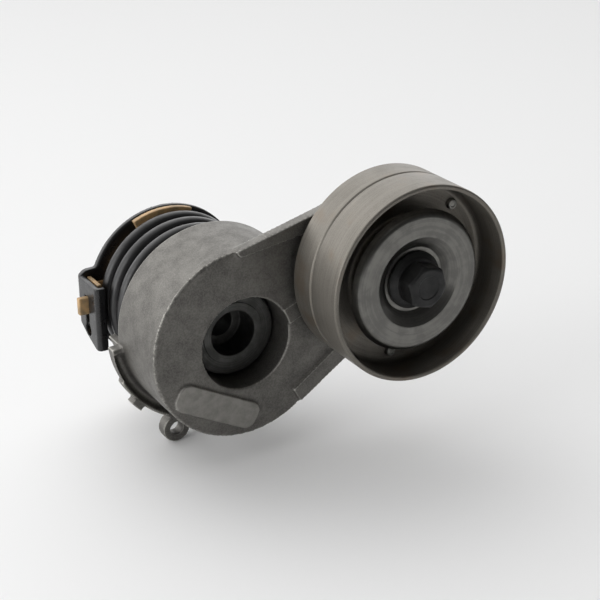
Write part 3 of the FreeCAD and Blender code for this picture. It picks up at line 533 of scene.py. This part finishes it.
def scoop_skirt(place, radius, front):
    """Hollows the skirt's front into a smooth channel between its outer rim and the drum."""
    turn = np.degrees(np.arctan2(place[:, 2], place[:, 0])) % 360
    across = (radius - SCOOP_RADIUS) / SCOOP_HALF
    along = np.clip(np.minimum(turn - SCOOP_FROM, SCOOP_TO - turn) / SCOOP_FADE, 0, 1)
    scooped = (abs(across) < 1) & (front > SKIRT_FRONT - 1) & (front < SKIRT_FRONT + 1)
    depth = SCOOP_DEPTH * np.sqrt(np.clip(1 - across ** 2, 0, 1)) * np.sqrt(along)
    place[:, 1] += np.where(scooped, depth * MM, 0)


def raise_parting_line(place, facing, radius, front):
    """Leaves a low, patchy ridge round the drum, where the two halves of the die met."""
    near_line = (abs(radius - DRUM_RADIUS) < 0.3) & (abs(front - PARTING) < 1.5)
    for index in np.nonzero(near_line)[0]:
        ridge = math.exp(-((front[index] - PARTING) / RIDGE_WIDTH) ** 2)
        patchy = max(0.0, 0.4 + noise.noise(Vector(place[index]) / MM / RIDGE_PATCH))
        place[index] += facing[index] * RIDGE_HEIGHT * ridge * patchy * MM


# %% Mark the pad for its painted light, and weather the whole arm
PAD_RISE, PAD_TOP, PAD_RIGHT = 0.5, -8.0, 8.0


def mark_pad_lit_and_rubbed(mesh, place, front):
    """Marks the points on the flat top of the pad, which the finish paints paler: painted light, with some
    rubbing.
    """
    low_left = (place[:, 2] < PAD_TOP * MM) & (place[:, 0] < PAD_RIGHT * MM)
    on_pad = (front > DRUM_FRONT + PAD_RISE) & low_left
    # these points take the pad's painted light in the finish
    pad_lit_and_rubbed = mesh.attributes.new("pad_lit_and_rubbed", "FLOAT", "POINT")
    pad_lit_and_rubbed.data.foreach_set("value", on_pad.astype(float))
    print("rubbed points:", int(on_pad.sum()))


def weather_arm(mesh):
    """Chips, scoops and marks the arm, judging each radius and distance before any change."""
    place, facing = points_of(mesh)
    radius = np.hypot(place[:, 0], place[:, 2]) / MM
    front = -place[:, 1] / MM
    nibble_rim(place, facing, radius, front)
    scoop_skirt(place, radius, front)
    raise_parting_line(place, facing, radius, front)
    mark_pad_lit_and_rubbed(mesh, place, front)
    mesh.vertices.foreach_set("co", place.ravel())
    mesh.update()


weather_arm(arm.data)
stands_for(arm, "arm_casting", ALUMINIUM)
ride_with(arm, "arm_casting")

# %% [markdown]
# ## The base
#
# The base is pressed from one blank. Its ear is bent forward into a bracket on the left, and the
# seat's tab clips through a window in it. The blank's edges are sheared and then coated, so they
# are soft but narrow.

# %% Press the base
PLATE_RADIUS = 32.6
base = softened("base_plate_pressed", "base_plate", 0.35, 2, [(*PIVOT, PLATE_RADIUS)])
stands_for(base, "base_plate", BLACK_COAT)
ride_with(base, "base_plate")

WEDGE_OUTER, SEAT_OUTER, GUIDE_RADIUS, SEAT_INNER = 32.4, 27.0, 25.8, 22.6
seat = softened("spring_seat_moulded", "spring_seat", 0.35, 2, [
    (*PIVOT, radius) for radius in (WEDGE_OUTER, SEAT_OUTER, GUIDE_RADIUS, SEAT_INNER)])
stands_for(seat, "spring_seat", TAN_NYLON)
ride_with(seat, "spring_seat")

# %% [markdown]
# ## The spring
#
# The spring is round wire wound on a mandrel. A circle swept along a helix gives it, and the
# coils are so few that the sweep can be written as two loops. One end turns with the base and
# the other with the arm.

# %% Wind the spring
WIRE, COIL_RADIUS, PITCH = 2.8, 29.0, 7.5
COIL_REAR, COIL_FRONT, COIL_START = 6.3, 57.3, math.radians(-28)
COIL_STEPS, WIRE_SIDES = 72, 24


def wound_spring(name):
    """Round wire swept along a helix from the seat to the bottom of the drum."""
    turns = (COIL_FRONT - COIL_REAR) / PITCH
    rings = int(turns * COIL_STEPS)
    climb = math.atan2(PITCH, math.tau * COIL_RADIUS)
    shape = bmesh.new()
    loops = []
    for step in range(-2, rings + 3):
        share = min(max(step / rings, 0), 1)
        turn = COIL_START + share * turns * math.tau
        outward = Vector((math.cos(turn), 0, math.sin(turn)))
        ahead = Vector((-math.sin(turn) * math.cos(climb), -math.sin(climb),
                        math.cos(turn) * math.cos(climb)))
        across = outward.cross(ahead)
        centre = outward * COIL_RADIUS - Vector((0, 1, 0)) * (COIL_REAR + share * PITCH * turns)
        # the two extra rings at each end draw in, so that the cut end has a soft corner
        narrowing = {-2: 0.86, -1: 0.97, rings + 1: 0.97, rings + 2: 0.86}.get(step, 1)
        beyond = {-2: -0.35, -1: -0.25, rings + 1: 0.25, rings + 2: 0.35}.get(step, 0)
        loops.append([shape.verts.new((centre + ahead * beyond + (
            outward * math.cos(side) + across * math.sin(side)) * WIRE * narrowing) * MM)
            for side in (math.tau * index / WIRE_SIDES for index in range(WIRE_SIDES))])
    for loop, following in zip(loops, loops[1:]):
        for index in range(WIRE_SIDES):
            after = (index + 1) % WIRE_SIDES
            shape.faces.new((loop[index], loop[after], following[after], following[index]))
    shape.faces.new(loops[0])
    shape.faces.new(loops[-1])
    return made(name, shape)


spring = wound_spring("spring_wound")
stands_for(spring, "spring", SPRING_COAT)
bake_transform(spring)

# %% [markdown]
# ## The pivot
#
# In the recess of the drum one sees the end of the pivot tube with its counterbore for the
# mounting screw, the thrust washer it is swaged over, and the friction ring under the washer.

# %% Turn the tube and the washer
TUBE_FRONT, WASHER_FRONT = span("pivot_tube")[1], span("front_thrust_washer")[1]
BORE, COUNTERBORE = mount_size["mounting_bore"]["r_mm"], mount_size["head_counterbore"]["r_mm"]
COUNTERBORE_FLOOR = mount_size["mounting_bore"]["length_mm"]
SPIGOT, SPIGOT_FRONT, FLANGE_RADIUS, FLANGE_FRONT = 12, 2.5, 15.5, 5.5
TUBE_RADIUS, SWAGED_LIP, WASHER_RADIUS = 11, 12.2, 16.8
tube = turned("pivot_tube_turned", [
    (BORE, 0, 0.3), (SPIGOT, 0, 0.3), (SPIGOT, SPIGOT_FRONT), (FLANGE_RADIUS, SPIGOT_FRONT, 0.4),
    (FLANGE_RADIUS, FLANGE_FRONT, 0.4), (TUBE_RADIUS, FLANGE_FRONT), (TUBE_RADIUS, WASHER_FRONT),
    (SWAGED_LIP, WASHER_FRONT, 0.3), (SWAGED_LIP, TUBE_FRONT, 0.9), (COUNTERBORE, TUBE_FRONT, 0.5),
    (COUNTERBORE, COUNTERBORE_FLOOR, 0.6), (BORE, COUNTERBORE_FLOOR, 0.5)], PIVOT)
stands_for(tube, "pivot_tube", TUBE_STEEL)
ride_with(tube, "pivot_tube")

washer_rear = span("front_thrust_washer")[0]
washer = turned("front_thrust_washer_turned", [
    (TUBE_RADIUS, washer_rear), (WASHER_RADIUS, washer_rear, 0.3),
    (WASHER_RADIUS, WASHER_FRONT, 0.6), (TUBE_RADIUS, WASHER_FRONT)], PIVOT)
stands_for(washer, "front_thrust_washer", TUBE_STEEL)
ride_with(washer, "front_thrust_washer")

# %% [markdown]
# ## The pulley
#
# Two drawn cups stand back to back, held by five rivets. Their rims make the belt face, with a
# shallow groove where they meet, and their collars hold the bearing. The section is sheet of even
# thickness with generous bends, and the front rim edge has a tiny burr-free round.

# %% Draw the two shells
SEAM = span("pulley_front_shell")[0]
RIM_FRONT, RIM_RADIUS = span("pulley_front_shell")[1:]
RIM_REAR = span("pulley_rear_shell")[0]
SHEET, GROOVE, RACE, COLLAR, LIP = 1.9, 0.5, 20.0, 21.7, 18.6
BEARING_REAR, BEARING_FRONT = 81.0, 93.0
front_shell = turned("pulley_front_shell_drawn", [
    (RACE, SEAM), (RIM_RADIUS - GROOVE, SEAM, 0.3), (RIM_RADIUS, SEAM + 0.7, 0.5),
    (RIM_RADIUS, RIM_FRONT, 0.8), (RIM_RADIUS - SHEET, RIM_FRONT, 0.7),
    (RIM_RADIUS - SHEET, SEAM + SHEET, 2.6), (COLLAR, SEAM + SHEET, 1.4),
    (COLLAR, BEARING_FRONT + 1, 0.8), (LIP, BEARING_FRONT + 1, 0.3),
    (LIP, BEARING_FRONT, 0.2), (RACE, BEARING_FRONT)], PULLEY)
stands_for(front_shell, "pulley_front_shell", DRAWN_STEEL)
ride_with(front_shell, "pulley_front_shell")

rear_shell = turned("pulley_rear_shell_drawn", [
    (RACE, SEAM), (RIM_RADIUS - GROOVE, SEAM, 0.3), (RIM_RADIUS, SEAM - 0.7, 0.5),
    (RIM_RADIUS, RIM_REAR, 0.8), (RIM_RADIUS - SHEET, RIM_REAR, 0.7),
    (RIM_RADIUS - SHEET, SEAM - SHEET, 2.6), (COLLAR, SEAM - SHEET, 1.0),
    (COLLAR, BEARING_REAR - 0.6, 0.3), (LIP, BEARING_REAR - 0.6, 0.2),
    (LIP, BEARING_REAR, 0.2), (RACE, BEARING_REAR)], PULLEY)
stands_for(rear_shell, "pulley_rear_shell", DRAWN_STEEL)
ride_with(rear_shell, "pulley_rear_shell")

# %% [markdown]
# ## The rivets
#
# Each rivet is a stub whose end was spun over into a low button with a dimple in the middle. One
# turned shape is made five times round the pulley axis and joined into a single piece.

# %% Set five rivets
RIVET_CIRCLE, RIVET_PHASE, RIVET_COUNT, RIVET_STEPS = 31.2, math.radians(46.5), 5, 32
RIVET_HEAD, RIVET_SHANK, RIVET_RISE, RIVET_TAIL, DIMPLE_RISE = 2.1, 1.5, 1.5, 0.9, 1.15


def joined(name, pieces):
    """Several objects as one."""
    shape = bmesh.new()
    for piece in pieces:
        shape.from_mesh(piece.data)
        bpy.data.objects.remove(piece)
    return made(name, shape)


rivets = []
for number in range(RIVET_COUNT):
    turn = RIVET_PHASE + math.tau * number / RIVET_COUNT
    place = (PULLEY[0] + RIVET_CIRCLE * math.cos(turn), PULLEY[1] + RIVET_CIRCLE * math.sin(turn))
    head, tail = SEAM + SHEET, SEAM - SHEET
    rivets.append(turned(f"rivet_{number}", [
        (0, head + DIMPLE_RISE), (0.8, head + DIMPLE_RISE, 0.2), (1.15, head + RIVET_RISE, 0.2),
        (1.75, head + RIVET_RISE, 0.4), (RIVET_HEAD, head + 0.6, 0.4), (RIVET_HEAD, head),
        (RIVET_SHANK, head), (RIVET_SHANK, tail), (RIVET_HEAD, tail),
        (RIVET_HEAD, tail - RIVET_TAIL, 0.4), (0, tail - RIVET_TAIL)], place, RIVET_STEPS))
rivet_set = joined("pulley_rivets_spun", rivets)
stands_for(rivet_set, "pulley_rivets", ZINC_STEEL)
ride_with(rivet_set, "pulley_rivets")

# %% [markdown]
# ## The dust shields
#
# The front shield is a shallow pressing: a flat centre clamped by the bolt, a dished wall, a
# raised ring and a lip rolled back towards the bearing. The rear one hides behind the pulley.

# %% Press the shields
SHIELD_FRONT, SHIELD_LIP = span("front_dust_shield")[1:]
BOLT_SEAT, SHIELD_SHEET, BOLT_BORE = 94.0, 1.0, 5.2
front_shield = turned("front_dust_shield_pressed", [
    (BOLT_BORE, BOLT_SEAT - SHIELD_SHEET), (13.2, BOLT_SEAT - SHIELD_SHEET, 1.5),
    (17.6, SHIELD_FRONT - SHIELD_SHEET, 1.2), (SHIELD_LIP - 2.4, SHIELD_FRONT - SHIELD_SHEET, 1.2),
    (SHIELD_LIP - SHIELD_SHEET, SHIELD_FRONT - 3.2, 0.2), (SHIELD_LIP, SHIELD_FRONT - 3, 0.2),
    (SHIELD_LIP - 1.9, SHIELD_FRONT, 2.0), (17.3, SHIELD_FRONT, 1.0),
    (14.4, SHIELD_FRONT - 2.2, 0.6), (12.4, BOLT_SEAT, 1.0), (BOLT_BORE, BOLT_SEAT)], PULLEY)
stands_for(front_shield, "front_dust_shield", SHIELD_STEEL)
ride_with(front_shield, "front_dust_shield")

BOSS_FRONT, REAR_SHIELD_SHEET, REAR_SHIELD_DISH, REAR_SHIELD_LIP = 79.5, 0.8, 1.6, 25
dish_rear, dish_front = BOSS_FRONT - REAR_SHIELD_DISH, BOSS_FRONT - REAR_SHIELD_DISH + REAR_SHIELD_SHEET
rear_shield = turned("rear_dust_shield_pressed", [
    (BOLT_BORE, BOSS_FRONT), (14.2, BOSS_FRONT, 0.6), (16.2, dish_rear, 0.6),
    (REAR_SHIELD_LIP, dish_rear, 0.3), (REAR_SHIELD_LIP, dish_front, 0.3), (16.5, dish_front, 0.6),
    (14.6, BOSS_FRONT + REAR_SHIELD_SHEET, 0.6), (BOLT_BORE, BOSS_FRONT + REAR_SHIELD_SHEET)],
    PULLEY)
stands_for(rear_shield, "rear_dust_shield", SHIELD_STEEL)
ride_with(rear_shield, "rear_dust_shield")

# %% [markdown]
# ## The pulley bolt
#
# A flanged hexagon bolt is forged. Its flange is turned, but its hexagon isn't round: the height
# of each point on the top rim follows from where the hexagon meets the chamfer cone, which draws
# the familiar arcs on the flats.

# %% Turn the shank and flange, forge the hexagon
HEX_FLATS, HEX_TURN, HEX_ROUND = 15.0, math.radians(43), 8.45
HEX_STEPS, CHAMFER_RADIUS, CHAMFER_SLOPE = 216, 6.9, math.tan(math.radians(30))
DIMPLE_OUTER, DIMPLE_INNER, DIMPLE_DEPTH = 4.6, 4.2, 0.25
HEAD_TOP, FLANGE, HEX_FOOT = BOLT_SEAT + 10.0, 10.95, BOLT_SEAT + 2.0
BOLT_END, SHANK_RADIUS = span("pulley_bolt")[0], 5


def hexagon_radius(turn):
    """Distance from the axis to the hexagon's side, with its corners rounded off."""
    from_flat = (turn - HEX_TURN) % math.radians(60) - math.radians(30)
    return min(HEX_FLATS / 2 / math.cos(from_flat), HEX_ROUND)


def forged_head(name):
    """The hexagon from its foot up over the chamfer to the shallow dimple in its top."""
    shape = bmesh.new()
    rings = []

    def ring(radius_at, front_at):
        points = []
        for step in range(HEX_STEPS):
            turn = math.tau * step / HEX_STEPS
            radius = radius_at(turn)
            points.append(shape.verts.new(((PULLEY[0] + radius * math.cos(turn)) * MM,
                                           -front_at(radius) * MM,
                                           (PULLEY[1] + radius * math.sin(turn)) * MM)))
        rings.append(points)

    def on_cone(radius):
        return HEAD_TOP - max(0, radius - CHAMFER_RADIUS) * CHAMFER_SLOPE

    ring(hexagon_radius, lambda radius: HEX_FOOT)
    ring(hexagon_radius, lambda radius: on_cone(radius) - 0.35)
    ring(lambda turn: hexagon_radius(turn) - 0.12, lambda radius: on_cone(radius) - 0.1)
    ring(lambda turn: hexagon_radius(turn) - 0.4, on_cone)
    ring(lambda turn: CHAMFER_RADIUS, on_cone)
    ring(lambda turn: CHAMFER_RADIUS - 0.35, lambda radius: HEAD_TOP)
    ring(lambda turn: DIMPLE_OUTER, lambda radius: HEAD_TOP)
    ring(lambda turn: DIMPLE_INNER, lambda radius: HEAD_TOP - DIMPLE_DEPTH)
    for lower, upper in zip(rings, rings[1:]):
        for step in range(HEX_STEPS):
            after = (step + 1) % HEX_STEPS
            shape.faces.new((lower[step], lower[after], upper[after], upper[step]))
    shape.faces.new(rings[0])
    shape.faces.new(rings[-1])
    return made(name, shape)


shank = turned("shank", [
    (0, BOLT_END), (SHANK_RADIUS - 0.9, BOLT_END), (SHANK_RADIUS, BOLT_END + 1.2),
    (SHANK_RADIUS, BOLT_SEAT), (FLANGE, BOLT_SEAT, 0.3),
    (FLANGE, BOLT_SEAT + 1.1, 0.5), (8.6, BOLT_SEAT + 3.0, 0.6), (0, BOLT_SEAT + 3.2)], PULLEY)
bolt = joined("pulley_bolt_forged", [shank, forged_head("head")])
stands_for(bolt, "pulley_bolt", BLACK_STEEL)
ride_with(bolt, "pulley_bolt")

# %% [markdown]
# ## Nodes that keep their own shape
#
# The bearing's insides, the bushes and the locating pin are small, plain and mostly out of sight.
# Their shape in the model is right, so they only take a finish.

# %% Give the other nodes their finishes
FINISH_OF = {
    "locating_pin": ZINC_STEEL, "rear_thrust_ring": DARK_POLYMER,
    "front_pivot_bush": DARK_POLYMER, "rear_pivot_bush": DARK_POLYMER,
    "damping_ring": DARK_POLYMER, "bearing_sleeve": ZINC_STEEL,
    "bearing_inner_race": BEARING_STEEL, "bearing_outer_race": BEARING_STEEL,
    "bearing_balls": BEARING_STEEL, "bearing_cage": DARK_POLYMER,
    "front_bearing_seal": NITRILE, "rear_bearing_seal": NITRILE}
for node, finish in FINISH_OF.items():
    for material_slot in frame["nodes"][node].material_slots:
        material_slot.material = finish
print("kept nodes:", len(FINISH_OF))

# %% [markdown]
# ## Floor, light and camera
#
# A wide pale floor lies level with the lowest point. The sky is bright behind the object and dim in
# front of it, so the tops and sides mirror something bright and the faces fall into shade. A wide
# soft box overhead evens the floor, and a smaller one on the left lifts the bracket's side.

# %% Lay the floor
GROUND, FLOOR_HALF = cad_box[0][2], 6.0
floor_mesh = bpy.data.meshes.new("floor")
floor_mesh.from_pydata([(x * FLOOR_HALF, y * FLOOR_HALF, GROUND)
                        for x, y in ((-1, -1), (1, -1), (1, 1), (-1, 1))], [], [(0, 1, 2, 3)])
floor = bpy.data.objects.new("floor", floor_mesh)
bpy.context.scene.collection.objects.link(floor)
pale, _, pale_shader = start_finish("floor_pale_card", 0.0, 0.9)
pale_shader.inputs["Base Color"].default_value = linear("ececec")
floor.data.materials.append(pale)
print("floor at", round(GROUND, 4), "m")

# %% Light it
def soft_box(name, place, aim, width, power):
    """A square area light, its place, aim and width in metres."""
    box = bpy.data.objects.new(name, bpy.data.lights.new(name, "AREA"))
    box.data.size, box.data.energy = width, power
    box.location = place
    box.rotation_euler = (Vector(place) - Vector(aim)).to_track_quat("Z", "Y").to_euler()
    bpy.context.scene.collection.objects.link(box)
    return box


soft_box("overhead_box", (-0.15, 0.35, 1.25), (0.0, 0.15, 0.0), 1.8, 6)
soft_box("left_box", (-1.2, -0.1, 0.45), (0.0, 0.0, 0.0), 0.9, 9)

FRONT_GLOW, BACK_GLOW = 0.08, 1.9
world = bpy.data.worlds.new("pale_room")
world.use_nodes = True
sky = world.node_tree
sky.nodes["Background"].inputs["Color"].default_value = linear("ffffff")
direction = add(sky, "TexCoord", {}, "Generated")
backward = add(sky, "SeparateXYZ", {0: direction}, "Y")
glow = add(sky, "MapRange", {0: backward, 1: -0.2, 2: 0.7, 3: FRONT_GLOW, 4: BACK_GLOW}, **SOFT)
sky.links.new(glow, sky.nodes["Background"].inputs["Strength"])
bpy.context.scene.world = world
bpy.context.scene.view_settings.view_transform = "Standard"
print("lights:", [light.name for light in bpy.data.lights], "and the sky", world.name)

# %% Set the camera
AIM = Vector((22.7, -68.9, 12.3)) * MM
AZIMUTH, ELEVATION, DISTANCE = math.radians(-30.64), math.radians(23.95), 0.520
away = Vector((math.sin(AZIMUTH) * math.cos(ELEVATION), -math.cos(AZIMUTH) * math.cos(ELEVATION),
               math.sin(ELEVATION)))
camera = bpy.data.objects.new("camera", bpy.data.cameras.new("camera"))
camera.location = AIM + away * DISTANCE
camera.rotation_euler = away.to_track_quat("Z", "Y").to_euler()
camera.data.lens, camera.data.sensor_width = 84.63, 36.0
bpy.context.scene.collection.objects.link(camera)
bpy.context.scene.camera = camera
print("camera at", [round(value, 4) for value in camera.location])
